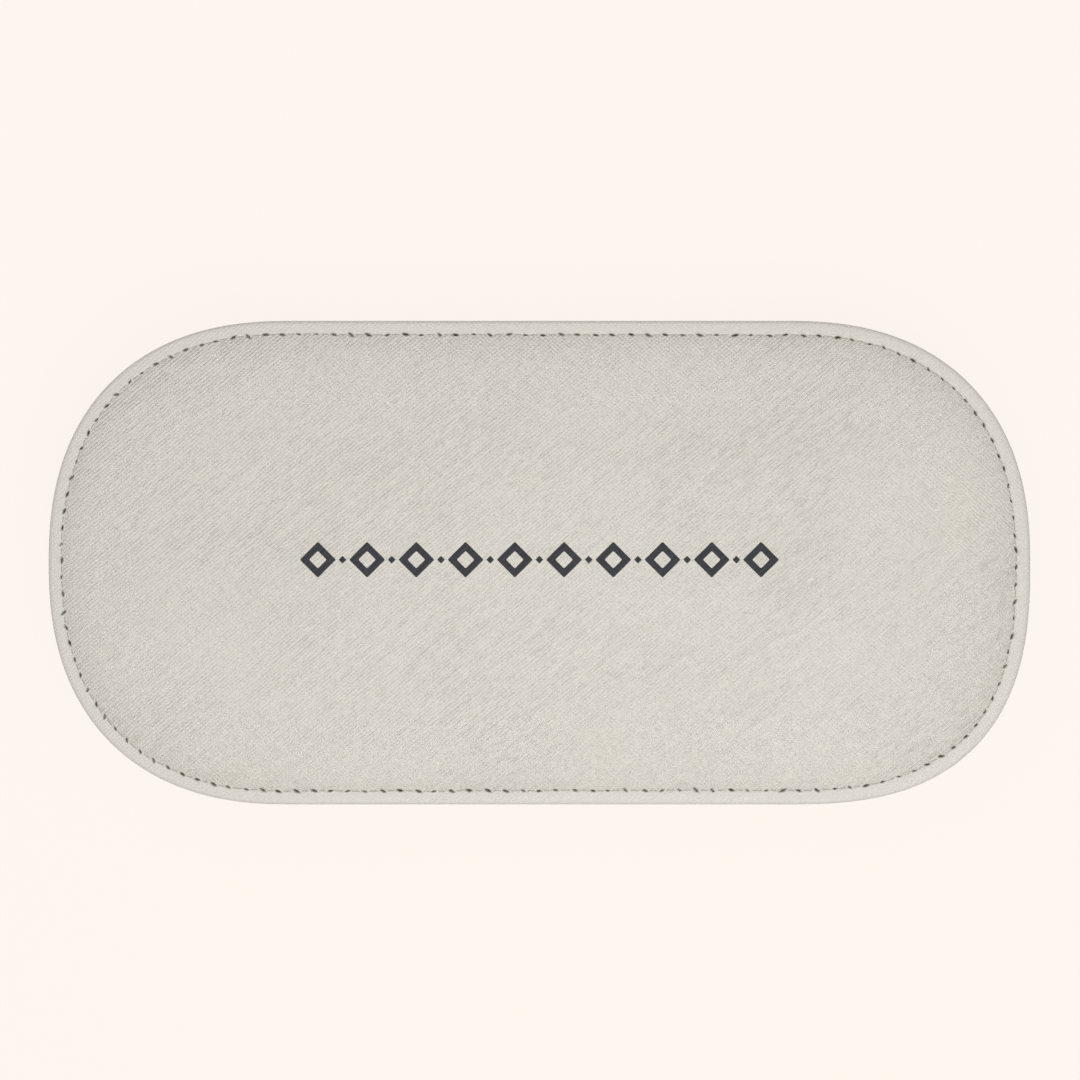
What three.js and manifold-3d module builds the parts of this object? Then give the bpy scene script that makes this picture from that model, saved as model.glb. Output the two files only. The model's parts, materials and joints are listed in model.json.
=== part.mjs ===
// A zip-around case for lash tools: two padded faux-leather panels, joined at the back by a
// folding spine and closed round the other sides by a zip with two sliders.
//
// Units are millimetres and +Z is up. The origin is the centre of the flat bottom. The case
// lies closed: +X runs along its length, -Y is the front, where the two sliders meet, and +Y
// is the spine. The lid half is the base half mirrored in the plane between the two.

import * as THREE from 'three';
import { mergeVertices } from 'three/addons/utils/BufferGeometryUtils.js';
import Module from 'manifold-3d';

const wasm = await Module();
wasm.setup();

// ---------------------------------------------------------------- driving dimensions
const LENGTH = 180;
const WIDTH = 88.7;
const HEIGHT = 26;
const END_POWER = 2.35; // superellipse exponent of the rounded ends
const FULL_POWER = 2.62; // of the front right corner, which is a little fuller
const END_STEPS = 24; // straight pieces in each rounded end

const LEATHER = 0.9; // thickness of the cover
const LAYER_GAP = 0.1; // free space between glued layers
const SEAM_INSET = 2.45; // from the outline to the topstitch
const SEAM_DIP = 1.1; // how far the seam sinks below the panel's face
const PAD_EDGE = 8; // the panel is flat inside this inset
const PAD_SLOPE = 4.6; // inset of the middle of the pad's sloping edge
const PAD_SLOPE_DIP = 0.35;
const HEM_TOP = 3.4; // height of the turned edge's upper side
const HEM_REACH = 4.4; // how far the hem comes in under the panel
const EDGE_ROUND = 0.35; // where the rolled edge starts to turn
const CREST_INSET = 1.3; // from the outline to the crest of the rolled edge

const FOAM_INSET = 5.2;
const FOAM_TOP = 2.4;
const BOARD_INSET = 4.9;
const BOARD_TOP = 3.9;
const LINING_INSET = 3.5;
const LINING_BOTTOM = 4.2;
const LINING_TOP = 4.8;

const TAPE = 0.6; // thickness of the zip tape
const TAPE_WALL = [[2.6, 3.55], [2.6, 4.75], [3.2, 6.4], [4.1, 8.6], [4.7, 10.8]]; // inset, height
const CHAIN_INSET = 5; // from the outline to the middle of the teeth
const CHAIN_THICK = 1.7; // of the teeth, through the tape
const CHAIN_LOW = 10.9;
const CHAIN_GAP = 0.55; // from each row of teeth to the middle plane
const STOP_LONG = 2;
const STOP_WALL = 0.4;
const STOP_PLAY = 0.12; // between a stop and the teeth it holds

const SPINE_LONG = 84;
const SPINE_END_GAP = 1.2; // from the spine to the ends of the tape
const FOLD_INSET = 1.75; // from the back edge to the fold lines
const FOLD_HEIGHT = 3.9; // of the lower fold line
const SPINE_COVER = 0.9;
const SPINE_BOARD = 0.8;
const SPINE_LINING = 0.5;
const SPINE_COVER_CLEAR = 0.5; // from a fold line to the spine's leather
const SPINE_INNER_CLEAR = 1.4; // from a fold line to its board and lining

const BAR_X = 36; // from the centre to the middle of each magnet bar
const BAR_WIDE = 13;
const BAR_LONG = 62;
const BAR_LOW = 4.9;
const BAR_HIGH = 3;
const BAR_WALL = 0.8;
const BAR_CORNER = 2.5;
const MAGNET_WIDE = 9;
const MAGNET_LONG = 56;
const MAGNET_THICK = 1.6;

const SLIDER_LONG = 11;
const NOSE_TALL = 8.6; // of the slider's plates at the end where the rows of teeth part
const TAIL_TALL = 6.8;
const SLIDER_CORNER = 1.6;
const PLATE = 0.9;
const CHANNEL = 0.55; // clearance from the teeth to each plate
const POST_LONG = 2.2;
const POST_TALL = 0.5;
const BAIL_WIRE = 0.9;
const BAIL_LONG = 6.4;
const BAIL_REACH = 2.2; // from the plate to the outside of the bail
const SLIDER_OFFSET = 6.2; // from the centre to the middle of each slider

const PULL_LONG = 18; // from its pivot to its tip
const PULL_WIDE = 5;
const PULL_THICK = 0.7;
const PULL_PLAY = 0.65; // from the slider's plate to the pivot
const PULL_BAR = 0.35; // half thickness of the crossbar under the bail
const WINDOW_END = 4.2; // from the pivot to the far end of the window
const WINDOW_TALL = 2.2;

// ---------------------------------------------------------------- derived places
const END_RADIUS = WIDTH / 2;
const STRAIGHT = LENGTH / 2 - END_RADIUS; // half of the straight edge
const MIDDLE = HEIGHT / 2;
const BACK = WIDTH / 2;
const CHAIN_TOP = MIDDLE - CHAIN_GAP;
const CHAIN_Y = BACK - CHAIN_INSET; // of the teeth at the back, and less at the front
const PLATE_INNER = CHAIN_THICK / 2 + CHANNEL; // from the teeth's middle
const PLATE_OUTER = PLATE_INNER + PLATE;
const TAPE_END = SPINE_LONG / 2 + SPINE_END_GAP;

// ---------------------------------------------------------------- materials
function material(colour, roughness, metalness = 0) {
  return new THREE.MeshStandardMaterial({ color: colour, roughness, metalness });
}
const leather = material(0xd4d0c6, 0.5);
const foam = material(0xe8e6e0, 0.95);
const greyBoard = material(0x8f8b82, 0.9);
const suede = material(0xcbc5b8, 0.95);
const tapeCloth = material(0xc4bfb3, 0.85);
const nylon = material(0xbdb8ac, 0.45);
const nickel = material(0xb9b7b2, 0.25, 1);
const ferrite = material(0x3b3b3d, 0.6, 0.3);

// ---------------------------------------------------------------- shaping helpers
/** A point of one rounded end, moved in by inset: angle runs from -90 to 90 degrees. */
function endPoint(angle, inset, exponent) {
  const radius = END_RADIUS - inset;
  const power = 2 / exponent;
  const across = Math.abs(Math.cos(angle)) ** power;
  const along = Math.sign(Math.sin(angle)) * Math.abs(Math.sin(angle)) ** power;
  return [STRAIGHT + radius * across, radius * along];
}

/** A solid with one cross-section, [inset, z] points, all the way round the outline. */
function roundOutline(section) {
  const columns = 2 * (END_STEPS + 1);
  const points = section.map(([inset, z]) => new THREE.Vector2(END_RADIUS - inset, z));
  const lathe = new THREE.LatheGeometry(points, columns);
  const place = lathe.attributes.position;
  for (let i = 0; i < place.count; i += 1) {
    const column = Math.floor(i / section.length) % columns;
    const side = column <= END_STEPS ? 1 : -1;
    const step = column % (END_STEPS + 1);
    const [inset, z] = section[i % section.length];
    const exponent = side > 0 && step < END_STEPS / 2 ? FULL_POWER : END_POWER;
    const [x, y] = endPoint((step / END_STEPS - 0.5) * Math.PI, inset, exponent);
    place.setXYZ(i, side * x, side * y, z);
  }
  return lathe;
}

/** An upright box between two corners. */
function block(low, high) {
  const size = high.map((value, i) => value - low[i]);
  const box = new THREE.BoxGeometry(...size);
  box.translate(...low.map((value, i) => value + size[i] / 2));
  return box;
}

/** A flat plate: an outline in X and Z, made thick along Y from near to far. */
function plateAlongY(outline, near, far) {
  const plate = new THREE.ExtrudeGeometry(outline, {
    depth: far - near,
    bevelEnabled: false,
    curveSegments: 4,
  });
  plate.rotateX(Math.PI / 2);
  plate.translate(0, far, 0);
  return plate;
}

/** A rounded outline through corner points, each corner cut by the same round. */
function roundedShape(corners, round) {
  const shape = new THREE.Shape();
  corners.forEach((corner, i) => {
    const here = new THREE.Vector2(...corner);
    const before = new THREE.Vector2(...corners.at(i - 1));
    const after = new THREE.Vector2(...corners[(i + 1) % corners.length]);
    const start = before.sub(here).setLength(round).add(here);
    const end = after.sub(here).setLength(round).add(here);
    if (i === 0) {
      shape.moveTo(start.x, start.y);
    } else {
      shape.lineTo(start.x, start.y);
    }
    shape.quadraticCurveTo(here.x, here.y, end.x, end.y);
  });
  shape.closePath();
  return shape;
}

/** The geometry with its shared positions joined and nothing but positions left. */
function welded(geometry) {
  const bare = geometry.clone();
  bare.deleteAttribute('normal');
  bare.deleteAttribute('uv');
  return mergeVertices(bare, 1e-4);
}

function toSolid(geometry) {
  const merged = welded(geometry);
  return new wasm.Manifold(new wasm.Mesh({
    numProp: 3,
    vertProperties: Float32Array.from(merged.attributes.position.array),
    triVerts: Uint32Array.from(merged.index.array),
  }));
}

function toGeometry(solid) {
  const mesh = solid.getMesh();
  const geometry = new THREE.BufferGeometry();
  geometry.setAttribute('position', new THREE.BufferAttribute(mesh.vertProperties, 3));
  geometry.setIndex(new THREE.BufferAttribute(mesh.triVerts, 1));
  return geometry;
}

function cut(geometry, tool) {
  return toGeometry(toSolid(geometry).subtract(toSolid(tool)));
}

function join(geometry, ...others) {
  return toGeometry(others.reduce((solid, other) => solid.add(toSolid(other)), toSolid(geometry)));
}

/** The geometry turned into its mirror image, x to -x or z to HEIGHT - z, faces out again. */
function mirrored(geometry, axis) {
  const copy = welded(geometry);
  const place = copy.attributes.position;
  for (let i = 0; i < place.count; i += 1) {
    if (axis === 'x') {
      place.setX(i, -place.getX(i));
    } else {
      place.setZ(i, HEIGHT - place.getZ(i));
    }
  }
  const index = copy.index.array;
  for (let i = 0; i < index.length; i += 3) {
    [index[i], index[i + 1]] = [index[i + 1], index[i]];
  }
  return copy;
}

function named(name, geometry, finish) {
  const mesh = new THREE.Mesh(geometry, finish);
  mesh.name = name;
  return mesh;
}

// ---------------------------------------------------------------- panel layers
/** The leather skin: flat face, pinched seam, rolled edge and a hem turned in over it. */
function coverShape() {
  return roundOutline([
    [END_RADIUS, 0],
    [PAD_EDGE, 0],
    [PAD_SLOPE, PAD_SLOPE_DIP],
    [SEAM_INSET, SEAM_DIP],
    [CREST_INSET, SEAM_DIP - 0.1],
    [EDGE_ROUND, SEAM_DIP + EDGE_ROUND],
    [0, (SEAM_DIP + HEM_TOP) / 2],
    [EDGE_ROUND, HEM_TOP - EDGE_ROUND],
    [CREST_INSET, HEM_TOP],
    [HEM_REACH, HEM_TOP],
    [HEM_REACH, HEM_TOP - LEATHER / 2],
    [SEAM_INSET, SEAM_DIP + LEATHER + LAYER_GAP],
    [PAD_SLOPE, PAD_SLOPE_DIP + LEATHER],
    [PAD_EDGE, LEATHER],
    [END_RADIUS, LEATHER],
  ]);
}

/** Foam glued to the inside of the skin, thinned away before the seam. */
function foamShape() {
  const low = LEATHER + LAYER_GAP;
  return roundOutline([
    [END_RADIUS, low],
    [PAD_EDGE, low],
    [FOAM_INSET, low + PAD_SLOPE_DIP],
    [FOAM_INSET, FOAM_TOP],
    [END_RADIUS, FOAM_TOP],
  ]);
}

function boardShape() {
  const low = FOAM_TOP + LAYER_GAP;
  return roundOutline([
    [END_RADIUS, low],
    [BOARD_INSET, low],
    [BOARD_INSET, BOARD_TOP],
    [END_RADIUS, BOARD_TOP],
  ]);
}

function liningShape() {
  return roundOutline([
    [END_RADIUS, LINING_BOTTOM],
    [LINING_INSET, LINING_BOTTOM],
    [LINING_INSET, LINING_TOP],
    [END_RADIUS, LINING_TOP],
  ]);
}

// ---------------------------------------------------------------- zip
/** Takes the stretch along the spine out of a ring that goes all the way round. */
function openAtSpine(ring) {
  return cut(ring, block([-TAPE_END, 0, -1], [TAPE_END, BACK + 1, HEIGHT + 1]));
}

/** The tape: a soft wall, sewn in between hem and lining, that bows in towards the teeth. */
function tapeShape() {
  const inside = TAPE_WALL.map(([inset, z]) => [inset + TAPE, z]).reverse();
  return openAtSpine(roundOutline([...TAPE_WALL, ...inside, TAPE_WALL[0]]));
}

/** One side's teeth and the cord that they are sewn over, as one rail. */
function chainShape() {
  const outer = CHAIN_INSET - CHAIN_THICK / 2;
  const inner = CHAIN_INSET + CHAIN_THICK / 2;
  return openAtSpine(roundOutline([
    [inner, CHAIN_LOW],
    [outer, CHAIN_LOW],
    [outer, CHAIN_TOP],
    [inner, CHAIN_TOP],
    [inner, CHAIN_LOW],
  ]));
}

/** The metal clip on the right-hand end of one row of teeth: two legs and a bridge. */
function stopShape() {
  const start = TAPE_END + STOP_PLAY;
  const slot = CHAIN_THICK / 2 + STOP_PLAY;
  const reach = slot + STOP_WALL;
  const roof = CHAIN_TOP + STOP_PLAY;
  const clip = block(
    [start, CHAIN_Y - reach, CHAIN_LOW],
    [start + STOP_LONG, CHAIN_Y + reach, roof + STOP_WALL - STOP_PLAY],
  );
  return cut(clip, block(
    [start - 1, CHAIN_Y - slot, CHAIN_LOW - 1],
    [start + STOP_LONG + 1, CHAIN_Y + slot, roof],
  ));
}

/** The left slider about its own middle, nose towards +X: two plates, a post and a bail. */
function sliderShape() {
  const half = SLIDER_LONG / 2;
  const shield = roundedShape([
    [-half, -TAIL_TALL / 2],
    [half, -NOSE_TALL / 2],
    [half, NOSE_TALL / 2],
    [-half, TAIL_TALL / 2],
  ], SLIDER_CORNER);
  const front = plateAlongY(shield, -PLATE_OUTER, -PLATE_INNER);
  const back = plateAlongY(shield, PLATE_INNER, PLATE_OUTER);
  const post = block(
    [-POST_LONG / 2, -PLATE_INNER - PLATE / 2, -POST_TALL / 2],
    [POST_LONG / 2, PLATE_INNER + PLATE / 2, POST_TALL / 2],
  );
  const sunk = -PLATE_OUTER + PLATE / 2;
  const arch = block(
    [-BAIL_LONG / 2, -PLATE_OUTER - BAIL_REACH, -BAIL_WIRE / 2],
    [BAIL_LONG / 2, sunk, BAIL_WIRE / 2],
  );
  const archway = block(
    [-BAIL_LONG / 2 + BAIL_WIRE, -PLATE_OUTER - BAIL_REACH + BAIL_WIRE, -BAIL_WIRE],
    [BAIL_LONG / 2 - BAIL_WIRE, sunk + 1, BAIL_WIRE],
  );
  return join(front, back, post, cut(arch, archway));
}

/** The left pull about its pivot, lying towards -X: a crossbar, a window and a grip. */
function pullShape() {
  const outline = roundedShape([
    [-PULL_LONG, -PULL_WIDE / 2],
    [PULL_BAR, -PULL_WIDE / 2 + 0.6],
    [PULL_BAR, PULL_WIDE / 2 - 0.6],
    [-PULL_LONG, PULL_WIDE / 2],
  ], PULL_BAR);
  const window = new THREE.Path();
  window.moveTo(-PULL_BAR, -WINDOW_TALL / 2);
  window.lineTo(-PULL_BAR, WINDOW_TALL / 2);
  window.lineTo(-WINDOW_END, WINDOW_TALL / 2);
  window.lineTo(-WINDOW_END, -WINDOW_TALL / 2);
  window.closePath();
  outline.holes.push(window);
  return plateAlongY(outline, -PULL_THICK / 2, PULL_THICK / 2);
}

// ---------------------------------------------------------------- magnet bars
function roundedBar(wide, long, round) {
  return roundedShape([
    [-wide / 2, -long / 2],
    [wide / 2, -long / 2],
    [wide / 2, long / 2],
    [-wide / 2, long / 2],
  ], round);
}

/** The padded cover of a magnet bar, hollow and open towards the lining. */
function barCoverShape() {
  const outside = new THREE.ExtrudeGeometry(roundedBar(BAR_WIDE, BAR_LONG, BAR_CORNER), {
    depth: BAR_HIGH,
    bevelEnabled: false,
    curveSegments: 4,
  });
  const hollow = block(
    [-BAR_WIDE / 2 + BAR_WALL, -BAR_LONG / 2 + BAR_WALL * 2, -1],
    [BAR_WIDE / 2 - BAR_WALL, BAR_LONG / 2 - BAR_WALL * 2, BAR_HIGH - BAR_WALL],
  );
  const cover = cut(outside, hollow);
  cover.translate(0, 0, BAR_LOW);
  return cover;
}

function magnetShape() {
  const low = BAR_LOW + LAYER_GAP;
  return block(
    [-MAGNET_WIDE / 2, -MAGNET_LONG / 2, low],
    [MAGNET_WIDE / 2, MAGNET_LONG / 2, low + MAGNET_THICK],
  );
}

// ---------------------------------------------------------------- assembly
/** Every piece of one half; reflect turns the base's shapes into the lid's. */
function buildHalf(prefix, reflect) {
  const half = new THREE.Group();
  half.add(named(`${prefix}_cover`, reflect(coverShape()), leather));
  half.add(named(`${prefix}_foam_pad`, reflect(foamShape()), foam));
  half.add(named(`${prefix}_board`, reflect(boardShape()), greyBoard));
  half.add(named(`${prefix}_lining`, reflect(liningShape()), suede));
  half.add(named(`${prefix}_zip_tape`, reflect(tapeShape()), tapeCloth));
  half.add(named(`${prefix}_zip_chain`, reflect(chainShape()), nylon));
  half.add(named(`${prefix}_zip_stop_right`, reflect(stopShape()), nickel));
  half.add(named(`${prefix}_zip_stop_left`, reflect(mirrored(stopShape(), 'x')), nickel));
  for (const [side, x] of [['left', -BAR_X], ['right', BAR_X]]) {
    const bar = new THREE.Group();
    bar.add(named(`${prefix}_magnet_cover_${side}`, reflect(barCoverShape()), suede));
    bar.add(named(`${prefix}_magnet_${side}`, reflect(magnetShape()), ferrite));
    bar.position.x = x;
    half.add(bar);
  }
  return half;
}

/** The spine's layers, from the leather outside to the lining inside. */
function buildSpine() {
  const spine = new THREE.Group();
  const layers = [
    ['spine_cover', SPINE_COVER, SPINE_COVER_CLEAR, leather],
    ['spine_board', SPINE_BOARD, SPINE_INNER_CLEAR, greyBoard],
    ['spine_lining', SPINE_LINING, SPINE_INNER_CLEAR, suede],
  ];
  let outer = BACK - FOLD_INSET;
  for (const [name, thick, clear, finish] of layers) {
    const low = FOLD_HEIGHT + clear;
    spine.add(named(name, block(
      [-SPINE_LONG / 2, outer - thick, low],
      [SPINE_LONG / 2, outer, HEIGHT - low],
    ), finish));
    outer -= thick + LAYER_GAP;
  }
  return spine;
}

/** The two sliders at the middle of the front, each with its pull lying along the zip. */
function buildSliders() {
  const sliders = new THREE.Group();
  for (const [side, sign] of [['left', -1], ['right', 1]]) {
    const turn = (shape) => (sign < 0 ? shape : mirrored(shape, 'x'));
    const slider = new THREE.Group();
    slider.add(named(`zip_slider_${side}`, turn(sliderShape()), nickel));
    const pull = named(`pull_tab_${side}`, turn(pullShape()), nickel);
    pull.position.y = -PLATE_OUTER - PULL_PLAY;
    slider.add(pull);
    slider.position.set(sign * SLIDER_OFFSET, -CHAIN_Y, MIDDLE);
    sliders.add(slider);
  }
  return sliders;
}

const toolCase = new THREE.Group();
toolCase.add(
  buildHalf('base', (shape) => shape),
  buildHalf('lid', (shape) => mirrored(shape, 'z')),
  buildSpine(),
  buildSliders(),
);

export default toolCase;
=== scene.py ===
"""Looks of a zip-around case for lash tools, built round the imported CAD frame.

Lengths inside this script are millimetres, in the row frame: +X along the case, -Y the front,
+Y the spine, +Z up through the lid. build_mesh() turns them into metres. An inset is a distance
in from the outline, seen from above. A depth is a distance in from the outer face of a half's
panel, so one function makes both halves.
"""

import json
import math
import random

import bpy
import numpy as np
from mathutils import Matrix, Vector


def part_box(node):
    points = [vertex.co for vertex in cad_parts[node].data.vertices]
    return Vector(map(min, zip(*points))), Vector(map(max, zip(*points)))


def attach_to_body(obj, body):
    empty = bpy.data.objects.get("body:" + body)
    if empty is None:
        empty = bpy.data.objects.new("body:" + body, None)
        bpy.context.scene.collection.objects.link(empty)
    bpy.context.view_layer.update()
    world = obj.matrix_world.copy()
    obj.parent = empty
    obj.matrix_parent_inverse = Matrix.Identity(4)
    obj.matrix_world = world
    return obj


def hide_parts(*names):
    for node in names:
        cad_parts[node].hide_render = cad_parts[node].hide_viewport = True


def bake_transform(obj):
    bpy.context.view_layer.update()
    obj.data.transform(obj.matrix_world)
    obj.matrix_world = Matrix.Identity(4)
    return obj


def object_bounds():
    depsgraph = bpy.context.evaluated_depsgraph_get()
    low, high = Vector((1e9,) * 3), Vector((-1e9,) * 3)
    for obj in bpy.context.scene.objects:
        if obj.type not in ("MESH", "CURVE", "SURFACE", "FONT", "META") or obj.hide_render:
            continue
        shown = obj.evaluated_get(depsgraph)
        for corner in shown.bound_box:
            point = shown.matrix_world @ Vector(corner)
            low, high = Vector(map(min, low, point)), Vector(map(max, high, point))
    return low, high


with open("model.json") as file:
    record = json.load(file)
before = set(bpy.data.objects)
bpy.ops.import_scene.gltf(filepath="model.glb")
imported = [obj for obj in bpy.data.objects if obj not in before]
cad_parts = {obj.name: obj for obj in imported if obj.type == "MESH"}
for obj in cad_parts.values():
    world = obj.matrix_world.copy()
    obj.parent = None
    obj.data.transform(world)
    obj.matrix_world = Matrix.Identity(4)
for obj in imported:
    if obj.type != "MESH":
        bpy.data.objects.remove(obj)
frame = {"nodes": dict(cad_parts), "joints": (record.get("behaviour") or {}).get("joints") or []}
CAD_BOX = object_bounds()

MM = 0.001


def cad_box(node):
    """A CAD node's lowest and highest corners, in millimetres."""
    return [np.array(corner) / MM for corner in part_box(node)]


# ---------------------------------------------------------------- sizes from the frame
LOW, HIGH = (np.array(corner) / MM for corner in CAD_BOX)
LENGTH, WIDTH, HEIGHT = HIGH - LOW
MIDDLE = HEIGHT / 2
END_RADIUS = WIDTH / 2
STRAIGHT = LENGTH / 2 - END_RADIUS  # half of the straight edge
HEM_DEPTH = cad_box("base_cover")[1][2]
CHAIN_DEPTH = cad_box("base_zip_chain")[0][2]
LINING_LOW, LINING_HIGH = cad_box("base_lining")
SPINE_LOW, SPINE_HIGH = cad_box("spine_cover")
SPINE_IN_LOW, SPINE_IN_HIGH = cad_box("spine_lining")
PULL_LOW, PULL_HIGH = cad_box("pull_tab_left")
BAR_LOW, BAR_HIGH = cad_box("base_magnet_cover_right")
STOP_LOW, STOP_HIGH = cad_box("base_zip_stop_right")
PULL_JOINT = next(joint for joint in frame["joints"] if joint["name"] == "pull_left_swing")
PIVOT = np.array(PULL_JOINT["pos_m"]) / MM

# ---------------------------------------------------------------- driving sizes
SEED = 7
SHARP_ANGLE = math.radians(50)  # edges sharper than this aren't smoothed over

# the outline, and the panel inside it
END_POWER = 2.35  # superellipse exponent of the rounded ends
FULL_POWER = 2.62  # of the front right corner, which is a little fuller
FAN_INSET = 12.0  # where a panel's rings start to close in on its middle line
SEAM = 2.6  # inset of the topstitch
SEAM_WANDER = 0.15  # further in at the right end, and less at the left
SEAM_DEPTH = 1.1  # of the panel's edge below its face
PAD_FALL = 3.6  # how quickly the padding rises from the seam
CREST = 0.95  # inset of the rolled edge's crest
CREST_DEPTH = 1.0  # of the crest below the panel's face
EDGE_POWER = 3.0  # how square the rolled edge is
HEM_REACH = 4.4  # inset of the turned hem's edge
LEATHER = 0.75  # thickness

# the topstitch
STITCHES = 148
STITCH_COLUMNS = 12  # mesh columns for each stitch
THREAD = 0.13  # radius
THREAD_SUNK = 0.06  # how far a stitch's middle lies below the panel's edge
THREAD_DIVE = 0.75  # how much deeper its ends go
STITCH_END = 0.26  # from a hole's middle to the thread's end
GROOVE = 0.045  # how deep the seam sits in the leather
GROOVE_WIDE = 0.24
HOLE_DEPTH = 0.6
HOLE_LIP = 0.09  # how far the leather rises round a hole
HOLE_LONG = 0.56  # half length
HOLE_WIDE = 0.165  # half width
HOLE_ZONE = (1.6, 3.5)  # insets between which the leather has holes and groove

# the zip
TAPE = 0.6  # thickness
TAPE_WALL = [(2.6, 3.55), (2.6, 4.75), (3.2, 6.4), (4.1, 8.6), (4.7, 10.8)]  # inset, depth
TAPE_GAP = 1.2  # from the spine to the tape's ends
CORD = 0.26  # how far each face of the tape swells at the sewn cord
CORD_DEPTH = 10.35
CORD_TALL = 0.32
RIPPLES = [(0.10, 7.3), (0.07, 4.1), (0.05, 2.3)]  # height, length over 2 pi
CHAIN_INSET = 5.0
TOOTH_PITCH = 1.5
TOOTH_MARGIN = 5.9  # of tape that the teeth leave free, both ends together
TOOTH = [  # height from the tape's edge, half width along the zip, half thickness
    (-0.55, 0.30, 0.55), (-0.42, 0.48, 0.78), (0.0, 0.56, 0.88), (0.75, 0.54, 0.86),
    (1.15, 0.36, 0.76), (2.0, 0.33, 0.70), (2.75, 0.34, 0.70), (3.0, 0.22, 0.48),
]

# the magnet bars
BAR_ROUND = 2.5  # radius of their corners
BAR_FLANGE = 0.6  # thickness of the sewn edge
BAR_SEAM = 0.75  # inset of its stitching
BAR_STITCH = 2.6
BAR_THREAD = 0.15

# the spine, and each layer's way out of the base half: level from start to start at a height,
# turned up, and upright from a height. It bends between two (y, z) points.
SPINE_SPREAD = 4.6  # how far the leather reaches past the lining at each end
SPINE_HEM = 2.1  # from the leather's ends to its topstitch
SPINE_SEAM_Z = 6.4  # height of the lower row
SPINE_BEND = 0.75  # radius
SPINE_LEATHER = {
    "thick": 0.8, "starts": (40.3, 40.9), "level": 3.82, "upright": 5.2,
    "fold": ((41.6, 3.7), (42.3, 5.0)),
}
SPINE_LINING = {
    "thick": 0.5, "starts": (39.3, 39.5), "level": 5.12, "upright": 6.5,
    "fold": ((39.7, 4.9), (40.5, 6.3)),
}

# sliders and pulls
PLATE_INNER = 1.4  # from the middle of the teeth
PLATE = 0.9
BAIL_REACH = 2.2
BAIL_WIRE = 0.45
PULL_THICK = 0.7
PULL_RIM = 1.1

# the print on the lid
PRINT_COUNT = 10
PRINT_STEP = 9.0
PRINT_TALL = 6.6
PRINT_STROKE = 1.2
PRINT_Y = 0.55
PRINT_RAISE = 0.03
PRINT_THICK = 0.09

# colours, in linear light
STONE = (0.660, 0.632, 0.577)
STONE_WARM = (0.655, 0.624, 0.567)
STONE_BAND = (0.572, 0.549, 0.501)
# painted shade: darkens the grain's valleys and the panel just inside the seam
STONE_PAINTED_SHADE = (0.54, 0.516, 0.462)
# painted highlight on the grain's ridges
STONE_PAINTED_HIGHLIGHT = (0.75, 0.722, 0.648)
# painted shade inside the needle holes
HOLE_PAINTED_SHADE = (0.018, 0.016, 0.013)
SUEDE_DEEP = (0.40, 0.365, 0.30)
SUEDE_DARK = (0.53, 0.495, 0.43)
SUEDE_LIGHT = (0.585, 0.55, 0.485)
TAPE_DARK = (0.44, 0.41, 0.35)
TAPE_LIGHT = (0.58, 0.55, 0.485)
THREAD_DARK = (0.34, 0.315, 0.26)
THREAD_LIGHT = (0.50, 0.47, 0.41)
NYLON_DARK = (0.46, 0.43, 0.37)
NYLON_LIGHT = (0.55, 0.52, 0.455)
NICKEL_DARK = (0.62, 0.60, 0.565)
NICKEL_LIGHT = (0.74, 0.725, 0.69)
INK_DARK = (0.020, 0.022, 0.026)
INK_LIGHT = (0.030, 0.033, 0.039)
FLOOR_COLOUR = (0.982, 0.922, 0.855)
FLOOR_PAPER = (0.06, 0.056, 0.052)
AMBIENT = (1.0, 0.980, 0.946)
GRAIN_PITCH = 0.58  # between the leather's pressed lines
GRAIN_BUMP = 0.42

# the studio
CAMERA_LENS = 100
CAMERA_SENSOR = 36
VIEW_WIDE = 197.4  # millimetres of the lid's plane that the frame shows
VIEW_CENTRE = (0.1, 4.15)
FLOOR_REACH = 3.0  # metres, as are the next lengths
FLOOR_DROP = 0.0002
LIGHTS = [  # name, place, size, energy
    ("key_light", (0.06, -0.16, 0.45), 0.35, 1.28),
    ("top_light", (-0.10, 0.15, 0.80), 0.7, 2.0),
]
LIGHT_TARGET = (0, 0, 0.02)

# ---------------------------------------------------------------- mesh building


def volume_of(points, faces):
    """Six times the signed volume that the faces hold."""
    corners = [(f[0], f[i], f[i + 1]) for f in faces for i in range(1, len(f) - 1)]
    a, b, c = (points[np.array(corners)[:, k]] for k in range(3))
    return float(np.einsum("ij,ij->", a, np.cross(b, c)))


def build_mesh(name, points, faces, material, uvs=None, **marks):
    """A smooth-shaded object of closed bodies, in metres. uvs has one pair for each point, and
    each mark becomes a number on each point that a material can read."""
    points = np.asarray(points, float)
    if volume_of(points, faces) < 0:
        faces = [tuple(reversed(face)) for face in faces]
    mesh = bpy.data.meshes.new(name)
    mesh.from_pydata((points * MM).tolist(), [], [tuple(int(i) for i in f) for f in faces])
    mesh.polygons.foreach_set("use_smooth", [True] * len(mesh.polygons))
    if uvs is not None:
        layer = mesh.uv_layers.new(name="cloth")
        corners = np.zeros(len(mesh.loops), int)
        mesh.loops.foreach_get("vertex_index", corners)
        layer.data.foreach_set("uv", np.asarray(uvs, np.float32)[corners].ravel())
    for mark, values in marks.items():
        attribute = mesh.attributes.new(mark, "FLOAT", "POINT")
        attribute.data.foreach_set("value", np.asarray(values, np.float32))
    mesh.materials.append(material)
    mesh.set_sharp_from_angle(angle=SHARP_ANGLE)
    obj = bpy.data.objects.new(name, mesh)
    bpy.context.collection.objects.link(obj)
    return obj


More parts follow.
